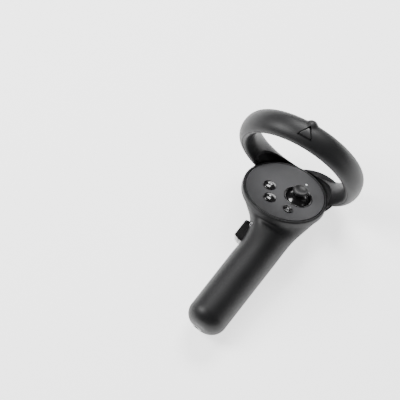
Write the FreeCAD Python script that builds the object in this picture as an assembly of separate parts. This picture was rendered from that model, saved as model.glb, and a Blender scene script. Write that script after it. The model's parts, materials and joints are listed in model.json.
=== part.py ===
import FreeCAD, Part
import math
import os
from FreeCAD import Placement, Rotation, Vector

os.makedirs("parts", exist_ok=True)

# ---------------------------------------------------------------- driving dimensions, mm
# Working frame: X to the right hand side, Y along the handle towards the ring, Z up when
# the controller lies face up.  The origin of the working frame is the centre of the face.
PLATE_R = 29.9            # round face plate
PLATE_T = 1.8
PLATE_LEAN = 27.6         # degrees the face leans forward from level
RIM_R = 32.2              # rounded collar around the face plate
RIM_H = 5.0
HEAD_CLEAR = 30.0         # the ring keeps off the face up to this height
WALL = 1.8                # moulded shell thickness

HANDLE_X = 10.2           # handle axis, offset from the face centre
HANDLE_Z = -7.8
HANDLE_R = 15.1
HANDLE_END = -120.8       # tail of the handle
TAIL_ROUND = 11.0
NECK_START = -60.0
SEAM_STEP = 0.03          # the flare starts this much inside the bar
SECTION_STEPS = 28        # points round each oval section

RING_CENTRE = Vector(0.7, 18.5, 26.3)
RING_YAW = 6.0            # degrees the ring turns about the vertical
RING_R = 43.4             # to the middle of the section
RING_H = 6.2              # half thickness, radial
RING_W = 9.9              # half width, along the ring axis
CREST_ANGLE = 85.0        # where the crest lug sits, degrees up from the right

STICK_U, STICK_V = 9.8, 2.9          # thumbstick on the face
STICK_PIVOT = -7.0                   # pivot height below the face
STICK_CAP_R = 5.9
STICK_CAP_TOP = 7.6
STICK_DOME_R = 10.5
STICK_HOLE_R = 11.0
BUTTONS = {"button_a": (-4.8, -14.4), "button_b": (-11.8, -3.4)}
BUTTON_R = 4.75
HOME_U, HOME_V = 11.3, -14.4
HOME_R = 3.6
LIGHT_U, LIGHT_V = 7.3, 18.8
FIT_GAP = 0.25            # all round a button in its hole
BOARD_N = -7.0            # top of the main board, below the face

TRIGGER_PIVOT = Vector(0, -5.0, -15.5)
TRIGGER_X0, TRIGGER_X1 = -6.0, 12.0
GRIP_PIVOT = Vector(-4.0, -35.5, 0)
GRIP_REACH = 14.4         # from the pivot to the free end of the grip key
GRIP_FACE_X = -11.3
GRIP_Z0, GRIP_Z1 = -13.5, -2.5

CELL_R = 7.2              # one AA cell
CELL_Y0, CELL_Y1 = -106.0, -55.5
DOOR_HALF = 8.6
DOOR_Y0, DOOR_Y1 = -104.0, -57.0

# The finished part stands on z = 0 with its origin under the middle of its box.
TO_PART_FRAME = Vector(-0.70, 43.95, 23.30)

X_AXIS = Vector(1, 0, 0)
Y_AXIS = Vector(0, 1, 0)
Z_AXIS = Vector(0, 0, 1)
FACE_TURN = Rotation(X_AXIS, -PLATE_LEAN)
RING_TURN = Rotation(Z_AXIS, RING_YAW).multiply(Rotation(X_AXIS, 90))


# ---------------------------------------------------------------- small helpers
def on_face(shape, u=0, v=0):
    """Carry a shape drawn about its own origin, +Z out of the face, to (u, v) on the face."""
    shape = shape.copy()
    place = Placement(FACE_TURN.multVec(Vector(u, v, 0)), FACE_TURN)
    shape.Placement = place.multiply(shape.Placement)
    return shape


def on_ring(shape):
    """Carry a shape from the ring's own frame (Z is the ring axis) to the ring."""
    shape = shape.copy()
    shape.Placement = Placement(RING_CENTRE, RING_TURN).multiply(shape.Placement)
    return shape


def rod(radius, n0, n1, u=0, v=0):
    return Part.makeCylinder(radius, n1 - n0, Vector(u, v, n0))


def tube(outer, inner, n0, n1):
    return rod(outer, n0, n1).cut(rod(inner, n0 - 1, n1 + 1))


def box(x0, x1, y0, y1, z0, z1):
    return Part.makeBox(x1 - x0, y1 - y0, z1 - z0, Vector(x0, y0, z0))


def lathe(points):
    """Solid of revolution about Z from an outline of (radius, height) points."""
    corners = [Vector(r, 0, h) for r, h in points]
    outline = Part.makePolygon(corners + [corners[0]])
    return Part.Face(outline).revolve(Vector(0, 0, 0), Z_AXIS, 360)


def round_edges(shape, radius, keep):
    """Fillet the edges whose middle point passes the test."""
    edges = [e for e in shape.Edges if keep(e.CenterOfMass)]
    return shape.makeFillet(radius, edges)


def coil(radius, wire, pitch, height):
    """Helical spring about Z, standing on z = 0."""
    path = Part.makeHelix(pitch, height, radius)
    ring = Part.Wire(Part.makeCircle(wire, Vector(radius, 0, 0), Y_AXIS))
    return Part.Wire(path).makePipeShell([ring], True, False)


def oval(x, y, z, half_x, half_v, lean):
    """Points round an oval section facing along Y, leaned back about X; the seam is underneath."""
    turn = Rotation(X_AXIS, -90 + lean)
    points = []
    for step in range(SECTION_STEPS + 1):
        angle = math.pi / 2 + 2 * math.pi * (step % SECTION_STEPS) / SECTION_STEPS
        offset = Vector(half_x * math.cos(angle), half_v * math.sin(angle), 0)
        points.append(Vector(x, y, z) + turn.multVec(offset))
    return points


def skin(sections):
    """Closed solid with a smooth surface through rows of section points, and flat ends."""
    surface = Part.BSplineSurface()
    surface.interpolate(sections)
    start, end = surface.bounds()[0:2]
    ends = [Part.Face(Part.Wire(surface.uIso(at).toShape())) for at in (start, end)]
    closed = Part.makeShell([surface.toShape()] + ends)
    closed.sewShape()
    solid = Part.makeSolid(closed)
    if solid.Orientation == "Reversed":
        closed.reverse()
        solid = Part.makeSolid(closed)
    return solid


# ---------------------------------------------------------------- hollow body
def handle_bar(inset):
    """Straight round bar with a rounded tail."""
    y0 = HANDLE_END + inset
    bar = Part.makeCylinder(HANDLE_R - inset, NECK_START - y0, Vector(HANDLE_X, y0, HANDLE_Z), Y_AXIS)
    return round_edges(bar, TAIL_ROUND - inset, lambda c: c.y < y0 + 0.1)


def neck(inset):
    """Smooth flare from the bar to the round head; an inset one runs past both ends."""
    d = inset
    start = NECK_START - (1.0 if inset else 0)
    head = FACE_TURN.multVec(Vector(0, 0, -RIM_H + (0.3 if inset else 0)))
    top = RIM_R - 0.4
    return skin([
        oval(HANDLE_X, start, HANDLE_Z, HANDLE_R - d - SEAM_STEP, HANDLE_R - d - SEAM_STEP, 0),
        oval(HANDLE_X, -47.0, HANDLE_Z, HANDLE_R - d, HANDLE_R - d, 0),
        oval(8.7, -34.0, -7.6, 16.6 - d, 15.2 - d, 8),
        oval(6.1, -26.0, -6.8, 20.1 - d, 15.2 - d, 24),
        oval(2.7, -17.0, -5.6, 25.7 - d, 18.6 - d, 42),
        oval(0, head.y, head.z, top - d, top - d, 90 - PLATE_LEAN),
    ])


def lanyard_hole(radius):
    """Cylinder through the rounded corner of the tail, level, at 45 degrees."""
    middle = Vector(HANDLE_X - 9.0, HANDLE_END + 6.3, HANDLE_Z - 3.6)
    way = Vector(-1, 1, 0).normalize()
    return Part.makeCylinder(radius, 40, middle - way * 20, way)


def screw_places():
    """Shell screws, driven upwards from the underside: (x, y, z of the head seat)."""
    tail = (HANDLE_X + 5.5, -111.0, -17.0)
    return [tail, (22.0, -51.0, -12.0), (-10.5, -21.0, -13.0), (19.5, -21.0, -14.0)]


def screw(x, y, z):
    head = Part.makeCylinder(2.0, 1.4, Vector(x, y, z - 1.4), Z_AXIS)
    shank = Part.makeCylinder(1.1, 7.0, Vector(x, y, z), Z_AXIS)
    return head.fuse(shank)


def screw_clearance(x, y, z):
    head = Part.makeCylinder(2.2, 12.0, Vector(x, y, z - 12.0), Z_AXIS)
    shank = Part.makeCylinder(1.1, 7.0, Vector(x, y, z), Z_AXIS)
    return head.fuse(shank)


def grip_pocket():
    return box(-20, 3.0, -50.2, -33.0, GRIP_Z0 - 0.3, GRIP_Z1 + 0.3)


def grip_rod(radius, z0, height):
    return Part.makeCylinder(radius, height, Vector(GRIP_PIVOT.x, GRIP_PIVOT.y, z0), Z_AXIS)


def trigger_rod(radius, x0, x1):
    return Part.makeCylinder(radius, x1 - x0, Vector(x0, TRIGGER_PIVOT.y, TRIGGER_PIVOT.z), X_AXIS)


def trigger_mouth():
    return box(TRIGGER_X0 - 0.35, TRIGGER_X1 + 0.35, -26.5, -1.8, -40, -12.0)


def door_window(gap):
    half = DOOR_HALF + gap
    return box(HANDLE_X - half, HANDLE_X + half, DOOR_Y0 - gap, DOOR_Y1 + gap, -40, HANDLE_Z - 6)


def ring_blank(extra=0):
    """Plain ring solid, in the ring's own frame, with an oval section."""
    edge = Part.Ellipse(Vector(0, 0, 0), RING_W + extra, RING_H + extra).toShape()
    face = Part.Face(Part.Wire(edge))
    upright = Rotation(Vector(0, 0, -1), Vector(1, 0, 0), Vector(0, -1, 0))
    face.Placement = Placement(Vector(RING_R, 0, 0), upright)
    return face.revolve(Vector(0, 0, 0), Z_AXIS, 360)


def head_space():
    """Room for the face and its collar: a low drum above the body, well under the ring's crest."""
    return on_face(rod(RIM_R + 0.05, -RIM_H, HEAD_CLEAR))


# ---------------------------------------------------------------- build everything
nodes = {}
body_out = handle_bar(0).fuse(neck(0))
neck_in = neck(WALL)
shell = body_out.cut(handle_bar(WALL)).cut(neck_in)
upper = box(-80, 80, -140, 80, HANDLE_Z, 80)
lower = box(-80, 80, -140, 80, -60, HANDLE_Z)


def make_shells():
    grip_seat = grip_rod(1.0, GRIP_Z0 - 1.8, 17.4).fuse(grip_rod(2.4, GRIP_Z1, 3.2))
    front = shell.common(upper).cut(grip_pocket()).cut(grip_seat)
    rear = shell.common(lower).cut(grip_pocket()).cut(grip_seat)
    rear = rear.cut(trigger_mouth()).cut(door_window(0.25)).cut(lanyard_hole(3.2))
    for place in screw_places():
        rear = rear.cut(screw_clearance(*place))
    nodes["handle_front_shell"] = front.cut(lanyard_hole(3.2))
    nodes["handle_rear_shell"] = rear
    nodes["battery_door"] = shell.common(lower).common(door_window(0))
    sleeve = lanyard_hole(3.2).common(body_out)
    nodes["lanyard_sleeve"] = sleeve.cut(lanyard_hole(1.6))
    nodes["shell_screws"] = Part.Compound([screw(*place) for place in screw_places()])


def make_head():
    rim = tube(RIM_R, PLATE_R + 0.1, -RIM_H, -0.15)
    rim = round_edges(rim, 1.4, lambda c: c.z > -0.3 and rim.BoundBox.isInside(c))
    ledge = tube(PLATE_R + 0.1, PLATE_R - 2.6, -PLATE_T - 1.4, -PLATE_T)
    nodes["head_rim"] = on_face(rim.fuse(ledge))
    plate = rod(PLATE_R, -PLATE_T, 0)
    plate = round_edges(plate, 0.35, lambda c: c.z > -0.1)
    for u, v in BUTTONS.values():
        plate = plate.cut(rod(BUTTON_R + FIT_GAP, -9, 9, u, v))
    plate = plate.cut(home_outline(FIT_GAP, -9, 9))
    plate = plate.cut(rod(STICK_HOLE_R, -9, 9, STICK_U, STICK_V))
    plate = plate.cut(rod(0.8, -9, 9, LIGHT_U, LIGHT_V))
    nodes["face_plate"] = on_face(plate)
    nodes["status_light_pipe"] = on_face(rod(0.75, BOARD_N, 0.1, LIGHT_U, LIGHT_V))


def home_outline(grow, n0, n1):
    edge = Part.Ellipse(Vector(0, 0, n0), HOME_R + 0.35 + grow, HOME_R - 0.3 + grow).toShape()
    solid = Part.Face(Part.Wire(edge)).extrude(Vector(0, 0, n1 - n0))
    solid.Placement = Placement(Vector(HOME_U, HOME_V, 0), Rotation(Z_AXIS, -20)).multiply(solid.Placement)
    return solid


def make_buttons():
    for name, (u, v) in BUTTONS.items():
        dome = Part.makeSphere(9.0, Vector(0, 0, 1.9 - 9.0))
        cap = rod(BUTTON_R, -4.2, 3).common(dome.fuse(rod(BUTTON_R, -4.2, 0.4)))
        flange = rod(BUTTON_R + 0.9, -3.6, -2.4)
        nodes[name] = on_face(cap.fuse(flange), u, v)
    home = home_outline(0, -4.4, 0.8)
    home = round_edges(home, 0.5, lambda c: c.z > 0.7)
    nodes["home_button"] = on_face(home.fuse(home_outline(0.8, -3.6, -2.6)))
    places = list(BUTTONS.values()) + [(HOME_U, HOME_V)]
    bodies = [box(u - 2.6, u + 2.6, v - 2.6, v + 2.6, BOARD_N, BOARD_N + 0.9) for u, v in places]
    plungers = [rod(1.2, BOARD_N + 0.9, BOARD_N + 1.3, u, v) for u, v in places]
    nodes["tact_switches"] = on_face(Part.Compound([b.fuse(p) for b, p in zip(bodies, plungers)]))


def make_stick():
    u, v, p = STICK_U, STICK_V, STICK_PIVOT
    bezel = lathe([(9.4, -PLATE_T), (STICK_HOLE_R - 0.05, -PLATE_T), (STICK_HOLE_R - 0.05, 0.15),
                   (10.6, 0.5), (10.1, 0.5), (9.8, 0.1), (9.6, -0.5), (9.4, -0.6)])
    lip = tube(STICK_HOLE_R + 1.4, 10.6, -PLATE_T - 1.0, -PLATE_T)
    nodes["stick_bezel"] = on_face(bezel.fuse(lip), u, v)
    cap = lathe([(0, 3.7), (3.1, 3.7), (3.3, 4.4), (5.2, 4.9), (STICK_CAP_R, 5.7), (STICK_CAP_R, 6.9),
                 (5.4, STICK_CAP_TOP), (4.6, STICK_CAP_TOP - 0.1), (3.0, 6.8), (0, 6.5)])
    stem_room = rod(2.2, 0, 4.8)
    nodes["stick_cap"] = on_face(cap.cut(stem_room), u, v)
    centre = Vector(0, 0, p)
    skirt = Part.makeSphere(STICK_DOME_R, centre).cut(Part.makeSphere(STICK_DOME_R - 0.8, centre))
    skirt = skirt.common(rod(20, -3.76, 20)).cut(rod(2.2, -20, 20))
    nodes["stick_skirt"] = on_face(skirt, u, v)
    stem = rod(2.2, p - 1.6, 4.8).fuse(Part.makeSphere(2.6, centre))
    cross = Part.makeCylinder(0.8, 11.6, Vector(0, -5.8, p), Y_AXIS)
    nodes["stick_stem"] = on_face(stem.fuse(cross), u, v)
    frame = tube(6.0, 4.3, p - 1.4, p + 1.4).cut(Part.makeCylinder(0.85, 20, Vector(0, -10, p), Y_AXIS))
    pins = [Part.makeCylinder(0.8, 1.9, Vector(x, 0, p), X_AXIS) for x in (5.6, -7.5)]
    nodes["stick_gimbal"] = on_face(frame.fuse(pins), u, v)
    carrier = tube(8.2, 6.2, p - 2.6, p - 2.0)   # the gimbal dips through its middle
    for x in (6.6, -7.6):
        carrier = carrier.fuse(box(x, x + 1.0, -1.7, 1.7, p - 2.1, p + 1.3))
    carrier = carrier.cut(Part.makeCylinder(0.85, 30, Vector(-15, 0, p), X_AXIS))
    nodes["stick_carrier"] = on_face(carrier, u, v)
    can = rod(9.2, p - 4.8, p - 1.3).cut(rod(8.5, p - 4.0, p))
    nodes["stick_housing"] = on_face(can, u, v)
    spring = coil(7.2, 0.15, 0.4, 0.4)
    spring.translate(Vector(0, 0, p - 3.85))
    nodes["stick_spring"] = on_face(spring, u, v)


def make_board():
    board = on_face(rod(25.5, BOARD_N - 1.0, BOARD_N, 0, -3.0).cut(rod(11.8, -20, 0, STICK_U, STICK_V)))
    nodes["main_board"] = board.common(neck(WALL + 1.0))
    places = [(-18.0, -8.0, 2.5), (-6.0, 6.0, 3.5), (-15.0, 4.0, 2.0), (0.0, -22.0, 2.0)]
    chips = [box(u - s, u + s, v - s, v + s, BOARD_N - 2.2, BOARD_N - 1.0) for u, v, s in places]
    nodes["board_chips"] = on_face(Part.Compound(chips))


def make_trigger():
    pivot = TRIGGER_PIVOT
    front, top = Vector(0, -2.4, -17.6), Vector(0, -3.2, -14.0)
    back_low, back_top = Vector(0, -27.0, -20.2), Vector(0, -27.0, -15.6)
    under = Part.Arc(front, Vector(0, -14.5, -21.9), back_low).toShape()
    sides = Part.makePolygon([back_low, back_top, top, front])
    lever = Part.Face(Part.Wire([under] + sides.Edges)).extrude(Vector(TRIGGER_X1 - TRIGGER_X0, 0, 0))
    lever.translate(Vector(TRIGGER_X0, 0, 0))
    swing = Part.makeCylinder(21.2, 60, Vector(-30, pivot.y, pivot.z), X_AXIS)
    lever = lever.common(swing)
    boss = trigger_rod(2.3, TRIGGER_X0, TRIGGER_X1)
    bore = trigger_rod(1.06, -30, 30)
    lightening = box(TRIGGER_X0 + 2, TRIGGER_X1 - 2, -23.5, -9.5, -18.4, 0)
    magnet_room = Part.makeCylinder(1.5, 2.0, Vector(TRIGGER_X0, -21.0, -18.0), X_AXIS)
    spring_room = trigger_rod(2.5, 1.2, 4.8)
    nodes["index_trigger"] = lever.fuse(boss).cut(bore).cut(lightening).cut(magnet_room).cut(spring_room)
    nodes["trigger_magnet"] = magnet_room
    nodes["trigger_pin"] = trigger_rod(1.0, TRIGGER_X0 - 2.4, TRIGGER_X1 + 2.4)
    cheeks = []
    for x in (TRIGGER_X0 - 2.4, TRIGGER_X1 + 0.8):
        cheek = box(x, x + 1.6, pivot.y - 3.2, pivot.y + 1.8, -19, -13.0)
        cheeks.append(cheek.cut(trigger_rod(1.0, -30, 30)))
    nodes["trigger_cheeks"] = Part.Compound(cheeks).common(neck_in)
    spring = coil(1.8, 0.3, 0.75, 2.6)
    spring.Placement = Placement(Vector(1.7, pivot.y, pivot.z), Rotation(Y_AXIS, 90))
    nodes["trigger_spring"] = spring


def make_grip():
    x, y = GRIP_PIVOT.x, GRIP_PIVOT.y
    key = box(GRIP_FACE_X, -2.6, -50, -33.4, GRIP_Z0, GRIP_Z1)
    key = round_edges(key, 1.2, lambda c: c.x < GRIP_FACE_X + 0.1)
    swing = grip_rod(GRIP_REACH, -30, 60)
    knuckle = grip_rod(2.2, GRIP_Z0, GRIP_Z1 - GRIP_Z0)
    key = key.common(swing).fuse(knuckle).cut(grip_rod(1.06, -30, 60))
    magnet = Part.makeCylinder(1.5, 2.0, Vector(-4.6, -45.0, -8.0), X_AXIS)
    nodes["grip_key"] = key.cut(magnet)
    nodes["grip_magnet"] = magnet
    nodes["grip_pin"] = grip_rod(1.0, GRIP_Z0 - 1.8, 17.4)
    spring = coil(1.8, 0.3, 0.75, 2.2)
    spring.translate(Vector(x, y, GRIP_Z1 + 0.6))
    nodes["grip_spring"] = spring
    sensor = box(3.4, 4.4, -47, -43, -10, -6)
    nodes["grip_sensor"] = sensor


def make_power():
    axis = Vector(HANDLE_X, 0, HANDLE_Z)
    start = axis + Vector(0, CELL_Y0, 0)
    cell = Part.makeCylinder(CELL_R, CELL_Y1 - CELL_Y0 - 1.2, start, Y_AXIS)
    tip = Part.makeCylinder(2.6, 1.2, axis + Vector(0, CELL_Y1 - 1.2, 0), Y_AXIS)
    nodes["battery_cell"] = round_edges(cell, 0.6, lambda c: True).fuse(tip)
    tray = Part.makeCylinder(9.0, CELL_Y1 - CELL_Y0 + 7.0, start - Vector(0, 4.5, 0), Y_AXIS)
    room = Part.makeCylinder(CELL_R + 0.3, CELL_Y1 - CELL_Y0 + 4.0, start - Vector(0, 3.0, 0), Y_AXIS)
    nodes["battery_tray"] = tray.cut(room).cut(box(-30, 40, -130, -40, -40, HANDLE_Z - 1.0))
    spring = coil(3.0, 0.35, 0.8, 2.0)
    spring.Placement = Placement(start - Vector(0, 2.55, 0), Rotation(X_AXIS, -90))
    nodes["battery_spring"] = spring
    plate = box(HANDLE_X - 4, HANDLE_X + 4, CELL_Y1 + 0.1, CELL_Y1 + 0.6, HANDLE_Z - 1, HANDLE_Z + 4)
    nodes["battery_contact"] = plate
    motor = Part.makeCylinder(4.5, 11.0, Vector(14.5, -49.5, -3.5), Y_AXIS)
    nodes["haptic_motor"] = motor


def ring_section_cut(shape):
    cut = on_ring(shape).cut(body_out).cut(head_space())
    return max(cut.Solids, key=lambda s: s.Volume)


def make_ring():
    tube_wall = ring_blank().cut(ring_blank(-WALL))
    split = rod(RING_R, -30, 30)
    crest_pocket = crest_tile(0.3, -2.2)
    nodes["ring_outer_shell"] = ring_section_cut(tube_wall.cut(split).cut(crest_pocket))
    nodes["ring_inner_shell"] = ring_section_cut(tube_wall.common(split))
    nodes["crest_tile"] = on_ring(crest_tile(0, -2.2).common(ring_blank(0.5)))
    nodes["crest_lug"] = on_ring(crest_lug())
    strip = tube(46.2, 45.8, -3.2, 3.2).cut(box(-60, 60, -60, -14, -30, 30))
    nodes["light_strip"] = on_ring(strip)
    leds = []
    for step in range(12):
        led = box(46.25, 47.15, -1.2, 1.2, -0.9, 0.9)
        led.rotate(Vector(0, 0, 0), Z_AXIS, -11 + step * 18.3)
        leds.append(led)
    nodes["infrared_leds"] = on_ring(Part.Compound(leds))


def crest_tile(grow, depth):
    """Rounded triangular tile on the ring crest, its point away from the user."""
    base = RING_R + RING_H + depth
    corners = [Vector(base, 5.7 + grow, 4.4 + grow), Vector(base, -5.7 - grow, 4.4 + grow),
               Vector(base, 0, -4.9 - 1.5 * grow)]
    face = Part.Face(Part.makePolygon(corners + [corners[0]]))
    tile = face.extrude(Vector(5.0, 0, 0))
    tile = round_edges(tile, 1.1, lambda c: abs(c.x - base - 2.5) < 0.1)
    tile.rotate(Vector(0, 0, 0), Z_AXIS, CREST_ANGLE)
    return tile


def crest_lug():
    """Low rounded hump on the far shoulder of the ring crest."""
    lug = Part.makeSphere(5.0, Vector(RING_R + 1.4, 0, -6.6)).cut(ring_blank())
    lug.rotate(Vector(0, 0, 0), Z_AXIS, CREST_ANGLE)
    return max(lug.Solids, key=lambda s: s.Volume).cut(crest_tile(0.3, -2.2))


make_shells()
make_head()
make_buttons()
make_stick()
make_board()
make_trigger()
make_grip()
make_power()
make_ring()

for name, shape in nodes.items():
    placed = shape.copy()
    placed.translate(TO_PART_FRAME)
    placed.exportStep("parts/" + name + ".step")
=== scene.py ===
# %% [markdown]
# # A motion controller for the right hand
# The controller is a hollow moulding: a straight round handle, a flared neck, a round face with
# a thumbstick and buttons, and a ring that goes round the hand.  The CAD frame is loaded first.
# It fixes every size and every moving part, so each new surface below is measured from it.

# %% Load the frame
import json
import math

import bmesh
import bpy
import numpy as np
from mathutils import Matrix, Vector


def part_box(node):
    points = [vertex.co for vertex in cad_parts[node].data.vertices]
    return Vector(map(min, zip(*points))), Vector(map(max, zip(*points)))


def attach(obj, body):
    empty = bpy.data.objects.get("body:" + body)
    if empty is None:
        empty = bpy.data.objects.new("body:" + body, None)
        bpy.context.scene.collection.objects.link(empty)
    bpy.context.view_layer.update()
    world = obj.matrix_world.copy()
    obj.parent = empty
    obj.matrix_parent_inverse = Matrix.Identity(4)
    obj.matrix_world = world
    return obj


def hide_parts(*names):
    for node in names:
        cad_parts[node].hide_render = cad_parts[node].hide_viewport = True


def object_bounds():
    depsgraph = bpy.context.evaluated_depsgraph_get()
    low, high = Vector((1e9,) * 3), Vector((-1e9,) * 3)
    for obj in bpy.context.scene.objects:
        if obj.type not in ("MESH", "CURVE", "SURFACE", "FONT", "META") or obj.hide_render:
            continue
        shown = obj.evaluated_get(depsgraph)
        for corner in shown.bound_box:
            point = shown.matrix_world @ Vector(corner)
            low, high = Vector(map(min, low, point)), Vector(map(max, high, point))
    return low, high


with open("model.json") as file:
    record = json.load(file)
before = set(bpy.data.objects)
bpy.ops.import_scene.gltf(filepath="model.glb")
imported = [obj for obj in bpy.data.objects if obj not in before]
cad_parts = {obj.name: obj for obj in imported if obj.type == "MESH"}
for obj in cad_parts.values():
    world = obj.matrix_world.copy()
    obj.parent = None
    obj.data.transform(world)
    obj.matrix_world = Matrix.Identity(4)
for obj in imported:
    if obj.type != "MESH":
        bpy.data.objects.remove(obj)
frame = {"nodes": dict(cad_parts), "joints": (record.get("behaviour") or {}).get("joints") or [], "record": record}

MM = 0.001
cad_low, cad_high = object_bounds()
joints = {joint["name"]: joint for joint in frame["joints"]}
print("CAD box in mm", np.round(np.array(cad_high - cad_low) / MM, 1))

# %% [markdown]
# ## Where things are
# Everything on the face is placed by two distances across it and a height above it, so one
# function turns those into room coordinates.  The lean of the face comes from the direction
# in which a button is pressed.

# %% Axes of the face, of the handle and of the ring
OUT = -np.array(joints["button_a_press"]["axis"])
RIGHT = np.array([1.0, 0.0, 0.0])
AHEAD = np.cross(OUT, RIGHT)


def middle(node):
    """Middle of a CAD node's box, in millimetres."""
    low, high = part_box(node)
    return (np.array(low) + np.array(high)) / 2 / MM


PLATE_T = 1.8
FACE = middle("face_plate") + OUT * PLATE_T / 2
HANDLE_X, _, HANDLE_Z = middle("battery_cell")
TAIL_Y = cad_low.y / MM
RING_CENTRE = middle("ring_outer_shell")
RING_YAW = math.radians(6.0)
RING_X = np.array([math.cos(RING_YAW), math.sin(RING_YAW), 0.0])
RING_UP = np.array([0.0, 0.0, 1.0])
RING_AXIS = np.cross(RING_X, RING_UP)
print("face", np.round(FACE, 2), "ring", np.round(RING_CENTRE, 2))
print("handle axis", round(HANDLE_X, 2), round(HANDLE_Z, 2))


def on_face(u, v, n):
    """Points u to the right, v ahead and n out from the centre of the face, in millimetres."""
    u, v, n = np.broadcast_arrays(*[np.asarray(a, float) for a in (u, v, n)])
    return FACE + u[..., None] * RIGHT + v[..., None] * AHEAD + n[..., None] * OUT


# %% [markdown]
# ## Turning arrays into meshes
# Every new surface is a grid of points: rows along one parameter and columns along the other.
# A helper writes the grid into a mesh in one call, closes it round its columns, and shuts an
# open end with a single point.  The sign of the volume says whether the faces point outwards.

# %% Grid to mesh
def new_piece(name, body, slot, vertices, faces, replaces=(), material=None):
    mesh = bpy.data.meshes.new(name)
    mesh.from_pydata((vertices * MM).tolist(), [], faces)
    mesh.update()
    mesh.polygons.foreach_set("use_smooth", np.ones(len(mesh.polygons), bool))
    piece = bpy.data.objects.new(name, mesh)
    bpy.context.scene.collection.objects.link(piece)
    piece.data.materials.append(material or finish[slot])
    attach(piece, body)
    if replaces:
        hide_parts(*replaces)
    return piece


def grid_faces(rows, columns, close_rows=False):
    """Quads between neighbouring rows of a grid whose columns run round and close."""
    last = rows if close_rows else rows - 1
    i, j = np.meshgrid(np.arange(last), np.arange(columns), indexing="ij")
    k, l = (i + 1) % rows, (j + 1) % columns
    quads = np.stack([i * columns + j, i * columns + l, k * columns + l, k * columns + j], -1)
    return quads.reshape(-1, 4).tolist()


def signed_volume(vertices, faces):
    """Sum of the tetrahedra from the origin to each fan of a face: positive if faces look out."""
    total = 0.0
    for size in {len(face) for face in faces}:
        loop = vertices[np.array([face for face in faces if len(face) == size])]
        for k in range(1, size - 1):
            total += np.einsum("ij,ij->", loop[:, 0], np.cross(loop[:, k], loop[:, k + 1])) / 6
    return total


def closed_grid(points, ring=False):
    """Vertices and outward faces of a grid closed round its columns, and at both ends."""
    rows, columns = points.shape[:2]
    vertices = points.reshape(-1, 3)
    faces = grid_faces(rows, columns, ring)
    if not ring:
        tips = [points[0].mean(0), points[-1].mean(0)]
        base = rows * columns
        vertices = np.vstack([vertices, tips])
        for j in range(columns):
            k = (j + 1) % columns
            faces.append([base, k, j])
            faces.append([base + 1, base - columns + j, base - columns + k])
    if signed_volume(vertices - vertices.mean(0), faces) < 0:
        faces = [face[::-1] for face in faces]
    return vertices, faces


def turn(count):
    """Evenly spaced angles round a full turn, in radians."""
    return np.linspace(0, 2 * np.pi, count, endpoint=False)


def smooth_step(low, high, value):
    """0 below low, 1 above high, and an S curve 3t^2 - 2t^3 between."""
    t = np.clip((value - low) / (high - low), 0, 1)
    return t * t * (3 - 2 * t)


# %% [markdown]
# ## Finishes
# Shader maths reads best as ordinary expressions, so a small class wraps a socket and gives it
# + - * and so on.  Each finish below is one function: a base colour with a little mottling, a
# roughness that wanders, and bumps at the size of the real grain.

# %% Shader expressions
class Value:
    """A socket that can be used in arithmetic; each operator adds one Math node."""

    def __init__(self, maker, socket):
        self.maker, self.socket = maker, socket

    def math(self, operation, other=None, swap=False):
        pair = [self, other] if not swap else [other, self]
        inputs = {k: item for k, item in enumerate(pair) if item is not None}
        return self.maker.node("ShaderNodeMath", {"operation": operation}, inputs)

    def __add__(self, other):
        return self.math("ADD", other)

    def __sub__(self, other):
        return self.math("SUBTRACT", other)

    def __rsub__(self, other):
        return self.math("SUBTRACT", other, swap=True)

    def __mul__(self, other):
        return self.math("MULTIPLY", other)

    __radd__, __rmul__ = __add__, __mul__


class Maker:
    """Builds one material: adds nodes, links them, and sets the Principled shader's sockets."""

    def __init__(self, name):
        self.material = bpy.data.materials.new(name)
        self.material.use_nodes = True
        self.tree = self.material.node_tree
        self.shader = self.tree.nodes["Principled BSDF"]
        self.place = self.node("ShaderNodeTexCoord", out="Object")

    def node(self, kind, settings=None, inputs=None, out=0):
        node = self.tree.nodes.new(kind)
        for key, value in (settings or {}).items():
            setattr(node, key, value)
        for key, value in (inputs or {}).items():
            self.feed(node.inputs[key], value)
        return Value(self, node.outputs[out])

    def feed(self, socket, value):
        if isinstance(value, Value):
            self.tree.links.new(value.socket, socket)
        else:
            socket.default_value = value

    def set(self, **sockets):
        for name, value in sockets.items():
            self.feed(self.shader.inputs[name.replace("_", " ")], value)

    def noise(self, size_mm, detail=2.0, rough=0.5):
        """Noise between 0 and 1 whose lumps are about size_mm across."""
        inputs = {"Vector": self.place, "Scale": 1000.0 / size_mm, "Detail": detail, "Roughness": rough}
        return self.node("ShaderNodeTexNoise", inputs=inputs, out="Fac")

    def cells(self, size_mm):
        """Distance to the nearest cell centre, for a pebbled grain."""
        inputs = {"Vector": self.place, "Scale": 1000.0 / size_mm}
        return self.node("ShaderNodeTexVoronoi", inputs=inputs, out="Distance")

    def ramp(self, value, low, high):
        """0 below low, 1 above high, smooth between."""
        settings = {"interpolation_type": "SMOOTHSTEP"}
        inputs = {"Value": value, "From Min": low, "From Max": high}
        return self.node("ShaderNodeMapRange", settings, inputs, "Result")

    def blend(self, factor, dark, light):
        """A colour between two, by a factor."""
        settings = {"data_type": "RGBA"}
        inputs = {"Factor": factor, 6: (*dark, 1.0), 7: (*light, 1.0)}
        return self.node("ShaderNodeMix", settings, inputs, out=2)

    def bump(self, height, depth_mm, strength=1.0):
        inputs = {"Height": height, "Distance": depth_mm * MM, "Strength": strength}
        self.set(Normal=self.node("ShaderNodeBump", inputs=inputs, out="Normal"))


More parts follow.
